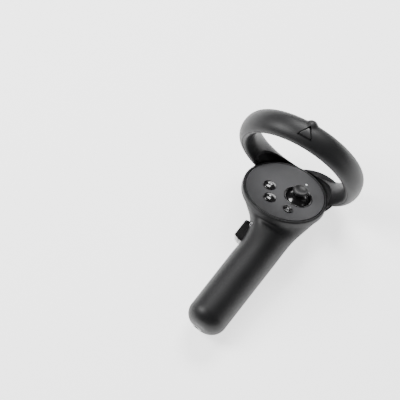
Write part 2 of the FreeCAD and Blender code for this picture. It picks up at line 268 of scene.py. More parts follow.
# %% Plastics
def soft_touch(name, dark, light, rough, grain_mm=0.35, depth_mm=0.02):
    """Matt soft-touch coat: pebbled micro grain, faint cloudiness, slightly shinier where handled."""
    make = Maker(name)
    cloud = make.noise(18.0, 3.0)
    speck = make.noise(0.6, 2.0)
    handled = make.ramp(make.noise(26.0, 2.0), 0.45, 0.72)
    make.set(Base_Color=make.blend(cloud * 0.7 + speck * 0.3, dark, light))
    make.set(Roughness=rough + make.noise(5.0) * 0.08 - handled * 0.07, IOR=1.46, Specular_IOR_Level=0.38)
    make.bump(make.cells(grain_mm) + make.noise(grain_mm * 0.6) * 0.6, depth_mm, 0.55)
    return make.material


def moulded(name, dark, light, rough, coat=0.0, depth_mm=0.008):
    """Moulded plastic: almost even colour, faint flow marks, hairline rubs and specks of dust."""
    make = Maker(name)
    flow = make.noise(9.0, 3.0)
    rubs = make.noise(1.4, 4.0, 0.7)
    dust = make.ramp(make.noise(0.9, 2.0), 0.66, 0.74)
    make.set(Base_Color=make.blend(flow * 0.6 + rubs * 0.4, dark, light))
    make.set(Roughness=rough + rubs * 0.10 + dust * 0.12, IOR=1.5)
    make.set(Coat_Weight=coat, Coat_Roughness=0.08)
    make.bump(flow * 0.5 + rubs * 0.5, depth_mm, 0.4)
    return make.material


# %% Metals and small materials
def metal(name, dark, light, rough):
    """Drawn or ground metal: fine streaks along the handle, uneven shine."""
    make = Maker(name)
    stretch = make.node("ShaderNodeMapping", inputs={"Vector": make.place, "Scale": (1.0, 0.08, 1.0)})
    inputs = {"Vector": stretch, "Scale": 2600.0, "Detail": 3.0}
    streak = make.node("ShaderNodeTexNoise", inputs=inputs, out="Fac")
    make.set(Base_Color=make.blend(streak, dark, light), Metallic=1.0)
    make.set(Roughness=rough + streak * 0.18)
    make.bump(streak, 0.006, 0.5)
    return make.material


def glowing(name, colour, power):
    """Clear moulded light guide with a soft glow and a slightly frosted skin."""
    make = Maker(name)
    frost = make.noise(0.4, 2.0)
    make.set(Base_Color=make.blend(frost, colour, (0.9, 0.9, 0.92)), Roughness=0.25 + frost * 0.2)
    make.set(Emission_Color=(*colour, 1.0), Emission_Strength=power)
    make.bump(frost, 0.01, 0.3)
    return make.material


finish = {
    "soft_touch_shell": soft_touch("soft_touch_black", (0.0085, 0.0085, 0.009), (0.014, 0.014, 0.0148), 0.43),
    "grained_face": soft_touch("grained_face_plate", (0.04, 0.04, 0.042), (0.054, 0.054, 0.057), 0.56, 0.28),
    "gloss_black": moulded("gloss_black", (0.003, 0.003, 0.0032), (0.006, 0.006, 0.0064), 0.14, 0.5),
    "satin_black": moulded("satin_black", (0.010, 0.010, 0.011), (0.017, 0.017, 0.018), 0.36),
    "inner_plastic": moulded("inner_plastic", (0.055, 0.055, 0.058), (0.08, 0.08, 0.084), 0.45),
    "stick_rubber": soft_touch("stick_rubber", (0.007, 0.007, 0.0073), (0.012, 0.012, 0.0126), 0.38,
                               grain_mm=0.22, depth_mm=0.015),
    "steel_wire": metal("spring_wire", (0.42, 0.42, 0.43), (0.62, 0.62, 0.63), 0.25),
    "steel_pin": metal("ground_steel", (0.45, 0.45, 0.46), (0.66, 0.66, 0.67), 0.22),
    "cell_jacket": metal("cell_jacket", (0.42, 0.26, 0.06), (0.62, 0.42, 0.12), 0.28),
    "circuit_board": moulded("circuit_board", (0.008, 0.05, 0.02), (0.015, 0.09, 0.04), 0.35),
    "chip_black": moulded("chip_black", (0.012, 0.012, 0.012), (0.022, 0.022, 0.022), 0.5),
    "light_guide": glowing("light_guide", (0.85, 0.87, 0.9), 0.25),
    "film_strip": moulded("film_strip", (0.30, 0.13, 0.02), (0.42, 0.2, 0.04), 0.4),
    "magnet": metal("plated_magnet", (0.5, 0.5, 0.48), (0.68, 0.68, 0.66), 0.2),
}
print_mark = moulded("printed_mark", (0.50, 0.50, 0.51), (0.62, 0.62, 0.63), 0.5)

for node in frame["record"]["subparts"]:
    part = frame["nodes"][node["node"]]
    part.data.materials.clear()
    part.data.materials.append(finish[node["material_slot"]])
print(len(finish), "finishes on", len(frame["nodes"]), "CAD nodes")

# %% [markdown]
# ## Handle and neck
# The shells are one flowing skin, split level along the middle of the handle.  Extruding a
# circle and bending it would crease at the neck.  Oval sections are carried along instead:
# their centre, two half sizes and lean are cubic curves through a few stations, the tail is a
# quarter arc, and the whole skin comes out of one array expression.

# %% The skin as a function of distance along and angle round
HANDLE_R = 15.1
TAIL_ROUND = 11.0
BAR_END = -60.0
LEAN = math.degrees(math.atan2(OUT[2], OUT[1]))
RIM_R, RIM_H = 32.2, 5.0
AROUND = 144

# station: x, y, z of the centre, half width, half height, lean, all from the face centre
neck_end = -RIM_H * OUT
stations = np.array([
    [HANDLE_X - FACE[0], BAR_END, HANDLE_Z - FACE[2], HANDLE_R, HANDLE_R, 0],
    [HANDLE_X - FACE[0], -47.0, HANDLE_Z - FACE[2], HANDLE_R, HANDLE_R, 0],
    [8.7, -34.0, -7.6, 16.6, 15.2, 8],
    [6.1, -26.0, -6.8, 20.1, 15.2, 24],
    [2.7, -17.0, -5.6, 25.7, 18.6, 42],
    [neck_end[0], neck_end[1], neck_end[2], RIM_R - 0.4, RIM_R - 0.4, LEAN],
])


def through(keys, count):
    """Natural cubic curve through rows of keys: solve for the slopes, then blend Hermite pieces."""
    n = len(keys)
    system = np.diag(np.full(n, 4.0)) + np.diag(np.ones(n - 1), 1) + np.diag(np.ones(n - 1), -1)
    system[0, 0] = system[-1, -1] = 2.0
    ahead, behind = np.vstack([keys[1:], keys[-1:]]), np.vstack([keys[:1], keys[:-1]])
    slopes = np.linalg.solve(system, 3 * (ahead - behind))
    at = np.linspace(0, n - 1, count)
    k = np.minimum(at.astype(int), n - 2)
    t = (at - k)[:, None]
    return ((1 + 2 * t) * (1 - t) ** 2 * keys[k] + t * (1 - t) ** 2 * slopes[k]
            + t * t * (3 - 2 * t) * keys[k + 1] + t * t * (t - 1) * slopes[k + 1])


def body_rows(inset):
    """Stations from the tail to the rim: a quarter arc, the straight bar, then the neck curve."""
    tail = TAIL_Y - FACE[1]
    angle = np.linspace(0, np.pi / 2, 22)
    core = HANDLE_R - TAIL_ROUND
    arc_r = core + (TAIL_ROUND - inset) * np.sin(angle)
    arc_y = tail + TAIL_ROUND - (TAIL_ROUND - inset) * np.cos(angle)
    flat_r = np.array([0.4, 2.2])
    radius = np.concatenate([flat_r, arc_r, np.full(24, HANDLE_R - inset)])
    bar_y = np.linspace(tail + TAIL_ROUND + 2, BAR_END - 1.5, 24)
    y = np.concatenate([np.full(2, tail + inset), arc_y, bar_y])
    zero = np.zeros_like(y)
    bar = np.stack([zero + HANDLE_X - FACE[0], y, zero + HANDLE_Z - FACE[2], radius, radius, zero], 1)
    neck = through(stations, 74)
    neck[:, 3:5] -= inset
    return np.vstack([bar, neck])


def skin(rows):
    """Point = centre + half width * cos(a) along X + half height * sin(a) along the leaning axis."""
    a = turn(AROUND)[None, :, None]
    lean = np.radians(rows[:, 5])[:, None, None]
    down = np.concatenate([0 * lean, np.sin(lean), -np.cos(lean)], -1)
    centre = rows[:, None, 0:3] + FACE
    return centre + rows[:, None, 3:4] * np.cos(a) * RIGHT + rows[:, None, 4:5] * np.sin(a) * down


outer = skin(body_rows(0.0))
print("skin", outer.shape, "spans y", np.round([outer[..., 1].min(), outer[..., 1].max()], 1))

# %% [markdown]
# ## Splitting the skin into its mouldings
# The real shells are cut by openings for the battery door, the trigger and the grip key.  A
# wall is made by joining the outer skin to an inner one, and plain blocks and rods are then
# subtracted, as a mould core would leave them.  The door is the piece left inside its window,
# so its curve always matches.

# %% Walls and cutters
WALL = 1.8
PAST = 90.0


def wall_between(outside, inside):
    """One closed skin: outwards along the outer rows, over the rim, and back along the inner."""
    return np.concatenate([outside, inside[::-1]], axis=0)


def block(x0, x1, y0, y1, z0, z1):
    """Corner points and faces of a box, in millimetres from the face centre."""
    corners = np.array([[x, y, z] for x in (x0, x1) for y in (y0, y1) for z in (z0, z1)]) + FACE
    faces = [[0, 1, 3, 2], [4, 6, 7, 5], [0, 4, 5, 1], [2, 3, 7, 6], [0, 2, 6, 4], [1, 5, 7, 3]]
    return corners, faces


def rod(radius, start, end, around=48):
    """A round bar between two points, in millimetres."""
    start, end = np.array(start, float), np.array(end, float)
    way = (end - start) / np.linalg.norm(end - start)
    side = np.cross(way, [0.3, 0.5, 0.81])
    side /= np.linalg.norm(side)
    other = np.cross(way, side)
    a = turn(around)[:, None]
    loop = radius * (np.cos(a) * side + np.sin(a) * other)
    return closed_grid(np.stack([start + loop, end + loop]))


def plain_object(name, vertices, faces):
    mesh = bpy.data.meshes.new(name)
    mesh.from_pydata((vertices * MM).tolist(), [], faces)
    item = bpy.data.objects.new(name, mesh)
    bpy.context.scene.collection.objects.link(item)
    return item


def carve(piece, cutters, operation="DIFFERENCE"):
    """Subtract (or keep what is common with) plain shapes, and leave an ordinary mesh."""
    for vertices, faces in cutters:
        cutter = plain_object("cutter", vertices, faces)
        change = piece.modifiers.new("carve", "BOOLEAN")
        change.object, change.operation, change.solver = cutter, operation, "EXACT"
        bpy.context.view_layer.update()
        carved = bpy.data.meshes.new_from_object(piece.evaluated_get(bpy.context.evaluated_depsgraph_get()))
        piece.modifiers.clear()
        piece.data = carved
        bpy.data.objects.remove(cutter)
    tidy = bmesh.new()
    tidy.from_mesh(piece.data)
    bmesh.ops.remove_doubles(tidy, verts=tidy.verts, dist=1e-6)
    bmesh.ops.dissolve_degenerate(tidy, edges=tidy.edges, dist=1e-6)
    tidy.to_mesh(piece.data)
    tidy.free()
    smooth_by_angle(piece, 35)


def smooth_by_angle(piece, degrees):
    """Smooth shading, with edges sharper than the angle kept crisp."""
    piece.data.polygons.foreach_set("use_smooth", np.ones(len(piece.data.polygons), bool))
    piece.data.set_sharp_from_angle(angle=math.radians(degrees))


# %% Openings, all measured from the face centre
SEAM_GAP = 0.12
DOOR_GAP, KEY_GAP, LEVER_GAP = 0.25, 0.3, 0.35
SLEEVE_ROOM_R, SCREW_ROOM_R = 3.22, 2.2
BELOW = -40.0
door_low, door_high = [np.array(c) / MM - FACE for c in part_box("battery_door")]
key_low, key_high = [np.array(c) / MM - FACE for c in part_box("grip_key")]
lever_low, lever_high = [np.array(c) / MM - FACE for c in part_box("index_trigger")]
sleeve = np.array(frame["record"]["mounts"][0]["pos_m"]) / MM
sleeve_way = np.array(frame["record"]["mounts"][0]["axis"])
seam = HANDLE_Z - FACE[2]


def door_block(gap):
    """The window of the battery door, wider all round by a gap."""
    return block(door_low[0] - gap, door_high[0] + gap, door_low[1] - gap, door_high[1] + gap,
                 BELOW, seam - 6)


pocket = block(-20, 3.0, key_low[1] - 2 * KEY_GAP, -33.0, key_low[2] - KEY_GAP, key_high[2] + KEY_GAP)
mouth = block(lever_low[0] - LEVER_GAP, lever_high[0] + LEVER_GAP, -26.5, -1.8, BELOW, -12.0)
sleeve_rod = rod(SLEEVE_ROOM_R, sleeve - sleeve_way * 20, sleeve + sleeve_way * 20)
screws = [(HANDLE_X - FACE[0] + 5.5, -111.0, -17.0), (22.0, -51.0, -12.0),
          (-10.5, -21.0, -13.0), (19.5, -21.0, -14.0)]
screw_rods = [rod(SCREW_ROOM_R, np.array(c) + FACE - [0, 0, 14], np.array(c) + FACE) for c in screws]
upper_half = block(-PAST, PAST, -140, PAST, seam + SEAM_GAP, PAST)
lower_half = block(-PAST, PAST, -140, PAST, -PAST, seam - SEAM_GAP)

# %% Front shell, rear shell and battery door
shell_points = closed_grid(wall_between(outer, skin(body_rows(WALL))))


def shell_piece(name, body, replaced):
    return new_piece(name, body, "soft_touch_shell", *shell_points, replaces=[replaced])


front = shell_piece("handle_front_cover", "controller_body", "handle_front_shell")
carve(front, [upper_half], "INTERSECT")
carve(front, [pocket])
rear = shell_piece("handle_rear_cover", "controller_body", "handle_rear_shell")
carve(rear, [lower_half], "INTERSECT")
carve(rear, [pocket, mouth, door_block(DOOR_GAP), sleeve_rod] + screw_rods)
door = shell_piece("battery_cover", "battery_door", "battery_door")
carve(door, [door_block(0.0)], "INTERSECT")
for piece in (front, rear, door):
    print(piece.name, len(piece.data.polygons), "faces")

# %% [markdown]
# ## Lathed pieces
# The collar, the face, the buttons and the stick are round, so each is a profile turned about
# an axis that stands out of the face.  Moulded corners are never sharp: every corner of a
# profile is replaced by a short curve, which is what catches the light along its edge.

# %% Profiles with soft corners, and the lathe
def soft_corners(corners, steps=6, closed=False):
    """Each corner (x, y, reach) becomes (1-t)^2 A + 2t(1-t) C + t^2 B, A and B a reach away."""
    corners = np.array(corners, float)
    points, reach = corners[:, :2], corners[:, 2:3]
    before, after = np.roll(points, 1, 0) - points, np.roll(points, -1, 0) - points
    a = points + before / np.linalg.norm(before, axis=1, keepdims=True) * reach
    b = points + after / np.linalg.norm(after, axis=1, keepdims=True) * reach
    t = np.linspace(0, 1, steps)[None, :, None]
    bent = (1 - t) ** 2 * a[:, None] + 2 * t * (1 - t) * points[:, None] + t * t * b[:, None]
    onward = np.roll(a, -1, 0)
    run = b[:, None] + np.array([0.08, 0.5, 0.92])[None, :, None] * (onward - b)[:, None]
    outline = np.concatenate([bent, run], 1).reshape(-1, 2)
    if not closed:
        outline = outline[:-3]
    gap = np.linalg.norm(np.roll(outline, 1, 0) - outline, axis=1)
    gap[0] = 1.0
    return outline[gap > 1e-3]


def turned(profile, u=0.0, v=0.0, columns=128, closed=False, oval=0.0, skew=0.0):
    """Point = (u + (r + oval) cos a, v + (r - oval) sin a, h) on the face, turned by skew."""
    r, h = profile[:, 0:1], profile[:, 1:2]
    a = turn(columns)[None, :]
    x, y = (r + oval * (r > 0.3)) * np.cos(a), (r - oval * (r > 0.3)) * np.sin(a)
    c, s = math.cos(skew), math.sin(skew)
    return closed_grid(on_face(u + x * c - y * s, v + x * s + y * c, h + 0 * a), ring=closed)


def face_place(node):
    """Where a node's middle sits on the face: right, ahead, out."""
    offset = middle(node) - FACE
    return offset @ RIGHT, offset @ AHEAD, offset @ OUT


# %% Collar and face plate
PLATE_R = 29.9
collar = [(RIM_R, -RIM_H, 0.15), (RIM_R, -0.15, 1.5), (PLATE_R + 0.35, -0.15, 0.45),
          (PLATE_R + 0.1, -PLATE_T - 0.1, 0.1), (PLATE_R - 2.6, -PLATE_T - 0.1, 0.1),
          (PLATE_R - 2.6, -PLATE_T - 1.4, 0.1), (PLATE_R + 0.1, -PLATE_T - 1.4, 0.1),
          (PLATE_R + 0.1, -RIM_H, 0.1)]
new_piece("face_collar", "controller_body", "soft_touch_shell",
          *turned(soft_corners(collar, closed=True), columns=288, closed=True), replaces=["head_rim"])

BUTTON_R, FIT_GAP, STICK_HOLE_R = 4.75, 0.25, 11.0
stick_u, stick_v, _ = face_place("stick_bezel")
button_places = {name: face_place(name)[:2] for name in ("button_a", "button_b")}
home_u, home_v, _ = face_place("home_button")
light_u, light_v, _ = face_place("status_light_pipe")
HOME_R, HOME_OVAL, HOME_SKEW = 3.6, 0.33, math.radians(-20)
print("stick at", round(stick_u, 2), round(stick_v, 2), "home at", round(home_u, 2), round(home_v, 2))

disc = [(0.05, 0, 0), (PLATE_R - 0.15, 0, 0.5), (PLATE_R - 0.1, -PLATE_T, 0.1), (0.05, -PLATE_T, 0)]
plate = new_piece("face_disc", "controller_body", "grained_face", *turned(soft_corners(disc), columns=192),
                  replaces=["face_plate"])
holes = [rod(BUTTON_R + FIT_GAP, on_face(u, v, -5), on_face(u, v, 5), 96) for u, v in button_places.values()]
holes.append(rod(STICK_HOLE_R - 0.06, on_face(stick_u, stick_v, -5), on_face(stick_u, stick_v, 5), 144))
holes.append(rod(0.8, on_face(light_u, light_v, -5), on_face(light_u, light_v, 5)))
oval_hole = np.array([[HOME_R + FIT_GAP, -5], [HOME_R + FIT_GAP, 5]])
holes.append(turned(oval_hole, home_u, home_v, 96, oval=HOME_OVAL, skew=HOME_SKEW))
carve(plate, holes)
broken = plate.modifiers.new("broken_edges", "BEVEL")
broken.width = 0.14 * MM
broken.segments = 2
broken.limit_method = "ANGLE"
broken.angle_limit = math.radians(50)
print("face plate", len(plate.data.polygons), "faces")

# %% [markdown]
# ## Buttons
# The two action buttons are polished domes that stand proud of the face, each in a hole that
# fits it closely.  The real ones carry letters; here they carry one and two printed pips, and
# the menu button three short bars.  The marks are thin pieces that follow the surface.

# %% Domes, menu button and marks
BUTTON_TOP, BUTTON_SPHERE = 1.9, 9.0
FLANGE_TOP, FLANGE_LOW = -2.4, -3.6


def dome_height(r):
    """Sphere of radius S whose top stands T above the face: h = T - S + sqrt(S^2 - r^2)."""
    return BUTTON_TOP - BUTTON_SPHERE + np.sqrt(BUTTON_SPHERE ** 2 - r * r)


def button(name, u, v):
    r = np.linspace(0.03, BUTTON_R - 0.35, 22)
    start = BUTTON_R - 0.3
    brow = soft_corners([(start, dome_height(start), 0), (BUTTON_R, 0.42, 0.3), (BUTTON_R, FLANGE_TOP, 0)])
    base = [[BUTTON_R + 0.9, FLANGE_TOP], [BUTTON_R + 0.9, FLANGE_LOW], [BUTTON_R, FLANGE_LOW],
            [BUTTON_R, -4.2], [0.03, -4.2]]
    profile = np.vstack([np.stack([r, dome_height(r)], 1), brow, base])
    return new_piece(name + "_dome", name, "gloss_black", *turned(profile, u, v, 128), replaces=[name])


def printed(name, body, u, v, half_u, half_v, surface, angle=0.0):
    """A rounded bar lying on a surface: x = half_u cos(a)^p, y = half_v sin(a)^p, rim sunk in."""
    power = 2 / 3.5
    scale = np.array([0.01, 0.3, 0.6, 0.85, 1.0, 1.0])[:, None]
    lift = np.array([0.035, 0.035, 0.035, 0.035, 0.02, -0.05])[:, None]
    a = turn(48)[None, :]
    x = scale * half_u * np.sign(np.cos(a)) * np.abs(np.cos(a)) ** power
    y = scale * half_v * np.sign(np.sin(a)) * np.abs(np.sin(a)) ** power
    c, s = math.cos(angle), math.sin(angle)
    du, dv = x * c - y * s, x * s + y * c
    points = on_face(u + du, v + dv, surface(du, dv) + lift)
    return new_piece(name, body, "gloss_black", *closed_grid(points), material=print_mark)


def pips(name, spots):
    u, v = button_places[name]
    for k, (a, b) in enumerate(spots):
        printed(f"{name}_pip_{k}", name, u + a, v + b, 0.72, 0.72,
                lambda du, dv: dome_height(np.hypot(a + du, b + dv)))


for name, (u, v) in button_places.items():
    button(name, u, v)
pips("button_a", [(0.0, 0.0)])
pips("button_b", [(-0.95, 0.0), (0.95, 0.0)])

home = soft_corners([(0.05, 0.55, 0), (2.2, 0.55, 0.3), (2.45, 0.28, 0.15), (2.75, 0.28, 0.15),
                     (2.95, 0.72, 0.2), (HOME_R, 0.72, 0.4), (HOME_R, -2.6, 0.05), (HOME_R + 0.8, -2.6, 0),
                     (HOME_R + 0.8, FLANGE_LOW, 0), (HOME_R, FLANGE_LOW, 0), (HOME_R, -4.4, 0),
                     (0.05, -4.4, 0)])
new_piece("menu_button", "home_button", "gloss_black",
          *turned(home, home_u, home_v, 112, oval=HOME_OVAL, skew=HOME_SKEW), replaces=["home_button"])
for k, rise in enumerate((-0.62, 0.0, 0.62)):
    printed(f"menu_bar_{k}", "home_button", home_u, home_v + rise, 0.85, 0.13, lambda du, dv: 0.55 + 0 * du)

lens = soft_corners([(0.02, 0.09, 0), (0.74, 0.05, 0.12), (0.74, -6.9, 0), (0.02, -6.9, 0)])
new_piece("status_light", "controller_body", "light_guide", *turned(lens, light_u, light_v, 48),
          replaces=["status_light_pipe"])

# %% [markdown]
# ## Thumbstick
# The stick stands in a stepped, polished bezel on a dome that slides under it as it tilts.  The
# cap is a mushroom with a dished top and a rolled lip, in soft rubber.

# %% Bezel, dome and cap
COLLAR_R = STICK_HOLE_R - 0.12
bezel = [(9.4, -PLATE_T, 0.05), (9.4, -0.62, 0.15), (9.75, -0.45, 0.1), (9.95, 0.15, 0.15),
         (10.25, 0.42, 0.2), (10.7, 0.42, 0.2), (COLLAR_R, 0.05, 0.15), (COLLAR_R, -PLATE_T, 0.05)]
new_piece("stick_collar", "controller_body", "gloss_black",
          *turned(soft_corners(bezel, closed=True), stick_u, stick_v, 192, closed=True),
          replaces=["stick_bezel"])

PIVOT_N, DOME_R = -7.0, 10.5
rise = np.linspace(math.asin(2.25 / DOME_R), math.acos((-3.7 - PIVOT_N) / DOME_R), 26)
outside = np.stack([DOME_R * np.sin(rise), PIVOT_N + DOME_R * np.cos(rise)], 1)
inside = np.stack([(DOME_R - 0.7) * np.sin(rise), PIVOT_N + (DOME_R - 0.7) * np.cos(rise)], 1)[::-1]
new_piece("stick_dome", "stick", "gloss_black",
          *turned(np.vstack([outside, inside]), stick_u, stick_v, 144, closed=True), replaces=["stick_skirt"])

CAP_R, CAP_TOP = 5.9, 7.6
dish = np.stack([np.linspace(0.03, 4.3, 16), 6.5 + 0.85 * (np.linspace(0.03, 4.3, 16) / 4.3) ** 2.4], 1)
lip = soft_corners([(4.4, 7.42, 0), (4.75, CAP_TOP, 0.25), (5.3, CAP_TOP, 0.3), (CAP_R, 6.9, 0.45),
                    (CAP_R, 5.75, 0.45), (5.1, 4.85, 0.5), (3.3, 4.3, 0.3), (3.05, 3.75, 0.15),
                    (2.25, 3.75, 0.05), (2.25, 4.82, 0), (0.03, 4.82, 0)])
new_piece("stick_top", "stick", "stick_rubber",
          *turned(np.vstack([dish, lip]), stick_u, stick_v, 144), replaces=["stick_cap"])
print("stick top stands", CAP_TOP, "mm above the face")

# %% [markdown]
# ## The ring
# The ring is two covers that meet along its sides, an outer and an inner one.  Each is a half
# oval wall carried round a circle, with its lips turned in a little so that the join reads as a
# fine groove.  Near the crest the outer cover swells into a low hump: points inside a small
# ball are pushed out onto it, and a smooth maximum blends the hump into the ring.

# %% Ring covers
RING_R, RING_H, RING_W = 43.4, 6.2, 9.9
LIP_TUCK, LIP_REACH = 0.22, 0.055
HUMP_R, HUMP_OUT, HUMP_BACK, HUMP_BLEND = 5.0, 1.4, 6.6, 1.6
HEAD_CLEAR, HEAD_DRUM_R = 30.0, RIM_R + 0.05
TILE_GROOVE = 0.55
CREST = math.radians(85.0)
crest_out = math.cos(CREST) * RING_X + math.sin(CREST) * RING_UP
crest_side = -math.sin(CREST) * RING_X + math.cos(CREST) * RING_UP


def smooth_max(a, b, width):
    """The larger of a and b, with the switch rounded over the width."""
    h = np.clip(0.5 + 0.5 * (a - b) / width, 0, 1)
    return b + (a - b) * h + width * h * (1 - h)


def ring_cover(name, side, replaced):
    """Radius = R + side (H - inset) cos s, along the axis = (W - inset) sin s, for s across half the oval."""
    lip = math.pi / 2 - 0.014
    s = lip * np.sin(np.linspace(-np.pi / 2, np.pi / 2, 44))
    tuck = LIP_TUCK * (1 - smooth_step(0.0, LIP_REACH, lip - np.abs(s)))
    out = np.stack([RING_R + side * (RING_H - tuck) * np.cos(s), (RING_W - tuck) * np.sin(s)], 1)
    back = np.stack([RING_R + side * (RING_H - WALL) * np.cos(s), (RING_W - WALL) * np.sin(s)], 1)[::-1]
    section = np.vstack([out, back])
    a = turn(360)[:, None, None]
    spoke = np.cos(a) * RING_X + np.sin(a) * RING_UP
    points = RING_CENTRE + section[None, :, 0:1] * spoke + section[None, :, 1:2] * RING_AXIS
    if side > 0:
        hump = RING_CENTRE + (RING_R + HUMP_OUT) * crest_out - HUMP_BACK * RING_AXIS
        skin_points = points[:, :len(s)]
        away = skin_points - hump
        reach = np.linalg.norm(away, axis=-1, keepdims=True)
        points[:, :len(s)] = hump + away / reach * smooth_max(reach, HUMP_R, HUMP_BLEND)
    piece = new_piece(name, "controller_body", "soft_touch_shell", *closed_grid(points, ring=True),
                      replaces=replaced)
    drum = rod(HEAD_DRUM_R, FACE - RIM_H * OUT, FACE + HEAD_CLEAR * OUT, 160)
    cutters = [drum, closed_grid(outer)]
    if side > 0:
        cutters.append(crest_prism(TILE_GROOVE))
    carve(piece, cutters)
    keep_largest(piece)
    return piece


def crest_outline(grow, steps=8):
    """Rounded triangle, in mm along the ring and along its axis, its point away from the user."""
    corners = [(5.7 + grow, 4.4 + grow, 1.6), (-5.7 - grow, 4.4 + grow, 1.6), (0, -4.9 - 1.5 * grow, 1.6)]
    return soft_corners(corners, steps, closed=True)


def at_crest(along, axial, radius):
    """Points near the crest: mm along the ring, along its axis, and out from its centre."""
    along, axial, radius = [part[..., None] for part in np.broadcast_arrays(along, axial, radius)]
    return RING_CENTRE + radius * crest_out + along * crest_side + axial * RING_AXIS


def crest_prism(grow):
    outline = crest_outline(grow)
    radius = np.array([RING_R + RING_H - 2.2, RING_R + RING_H + 3.0])[:, None]
    return closed_grid(at_crest(outline[None, :, 0], outline[None, :, 1], radius))


def keep_largest(piece):
    """Drops crumbs that a cut leaves: only the connected part with the most faces stays."""
    tidy = bmesh.new()
    tidy.from_mesh(piece.data)
    left, parts = set(tidy.faces), []
    while left:
        front, part = [left.pop()], []
        while front:
            face = front.pop()
            part.append(face)
            near = {other for edge in face.edges for other in edge.link_faces} & left
            left -= near
            front.extend(near)
        parts.append(part)
    parts.sort(key=len)
    bmesh.ops.delete(tidy, geom=[face for part in parts[:-1] for face in part], context="FACES")
    tidy.to_mesh(piece.data)
    tidy.free()


for name, side, replaced in (("ring_outer_cover", 1, ["ring_outer_shell", "crest_lug"]),
                             ("ring_inner_cover", -1, ["ring_inner_shell"])):
    piece = ring_cover(name, side, replaced)
    print(name, len(piece.data.polygons), "faces")

# %% Crest tile
TILE_RISE, TILE_FLANGE, TILE_BACK = 0.35, 1.95, 2.3
outline = crest_outline(-0.7)
scale = np.array([0.02, 0.25, 0.5, 0.7, 0.85, 0.94, 0.985, 1.0, 1.0, 1.35, 1.35, 0.02])[:, None]
drop = np.array([0.0, 0.0, 0.0, 0.0, 0.0, 0.03, 0.12, 0.3, 0.8, 0, 0, 0])[:, None]
along, axial = scale * outline[None, :, 0], scale * outline[None, :, 1]
across = RING_R + RING_H * np.sqrt(1 - (axial / RING_W) ** 2)
top = np.sqrt(across ** 2 - along ** 2) + TILE_RISE - drop
top[-4:-2] = RING_R + RING_H - TILE_FLANGE
top[-2:] = RING_R + RING_H - TILE_BACK
new_piece("crest_triangle", "controller_body", "satin_black", *closed_grid(at_crest(along, axial, top)),
          replaces=["crest_tile"])

# %% [markdown]
# ## The shoulder between the face and the ring
# On the right the head sweeps up into the ring, so that the two read as one moulding.  A
# curved lens is carried round the collar: its height is t^1.6 across its width t, one end
# stays under the collar, and the other follows a few stations until it sinks into the ring.

# %% Shoulder
# station: degrees round the face, reach out from the collar, height above the face, half thickness
shoulder = np.array([
    [16, 0.2, -2.6, 1.6], [22, 3.6, 2.6, 4.0], [30, 6.2, 8.0, 6.0], [40, 6.4, 12.5, 7.0],
    [52, 4.4, 12.5, 7.5], [64, 3.8, 9.4, 7.0], [80, 2.8, 4.8, 5.0], [100, 0.3, -1.6, 1.6],
], float)
row = through(shoulder, 90)
theta, reach, height, thick = [row[:, k][:, None] for k in range(4)]
theta = np.radians(theta)
q = turn(56)[None, :]
near, far = RIM_R - 2.5, RIM_R + reach
across = (1 + np.cos(q)) / 2
radius = near + (far - near) * across
lift = -1.2 + (height + 1.2) * across ** 1.6 + thick / 2 * (np.sin(q) - 1)
shoulder_points = on_face(radius * np.cos(theta), radius * np.sin(theta), lift)
web = new_piece("ring_shoulder", "controller_body", "soft_touch_shell", *closed_grid(shoulder_points))
carve(web, [rod(HEAD_DRUM_R, FACE - 0.9 * OUT, FACE + HEAD_CLEAR * OUT, 160)])
print("shoulder", len(web.data.polygons), "faces")

# %% [markdown]
# ## Finger controls
# The index trigger hangs under the face, and the grip key stands out of the side of the handle.
# Both are a profile carried along a straight line.  Near each end the profile shrinks by a
# quarter circle, so that the ends are rounded off and not flat.

# %% Carried profiles
def end_shrink(count, length, radius):
    """Places along a run, and how far in the profile is there: radius (1 - sin) near each end."""
    a = np.linspace(0, np.pi / 2, count)
    start = radius * (1 - np.cos(a))
    inset = radius * (1 - np.sin(a))
    middle_run = np.linspace(radius, length - radius, 9)[1:-1]
    at = np.concatenate([start, middle_run, (length - start)[::-1]])
    return at, np.concatenate([inset, 0 * middle_run, inset[::-1]])


def shrink(outline, inset):
    """Outline moved in by each inset, as a scale about its middle: 1 - inset / half size."""
    centre = (outline.max(0) + outline.min(0)) / 2
    half = (outline.max(0) - outline.min(0)) / 2
    return centre + (outline[None] - centre) * (1 - inset[:, None, None] / half)


# %% Index trigger
PIN_ROOM_R = 1.15
pivot = np.array(joints["index_trigger_pull"]["pos_m"]) / MM - FACE
under = np.array([[-2.4, -17.6], [-5.6, -19.6], [-9.8, -21.1],
                  [-14.5, -21.9], [-19.5, -21.7], [-24.2, -20.9]])
bend = through(under, 40)
top_line = np.array([[-25.9, -19.6], [-25.9, -15.9], [-14.0, -14.6], [-3.4, -14.2], [-2.5, -15.4]])
lever_outline = np.vstack([bend, top_line])
at, inset = end_shrink(9, lever_high[0] - lever_low[0], 1.6)
rows = shrink(lever_outline, inset)
x = (lever_low[0] + at)[:, None] + 0 * rows[..., 0]
bow = 0.35 * (1 - ((x - x.mean()) / (x.max() - x.mean())) ** 2) * smooth_step(-17.0, -21.0, rows[..., 1])
points = np.stack([x, rows[..., 0], rows[..., 1] + bow * 0.8], -1) + FACE
lever = new_piece("index_lever", "index_trigger", "satin_black", *closed_grid(points),
                  replaces=["index_trigger"])
pin_room = rod(PIN_ROOM_R, pivot + FACE - [40, 0, 0], pivot + FACE + [40, 0, 0])
spring_room = rod(2.6, pivot + FACE + [-1.8, 0, 0], pivot + FACE + [1.8, 0, 0])
magnet_room = rod(1.52, FACE + [lever_low[0] - 1, -21.0, -18.0], FACE + [lever_low[0] + 2.02, -21.0, -18.0])
carve(lever, [pin_room, spring_room, magnet_room])

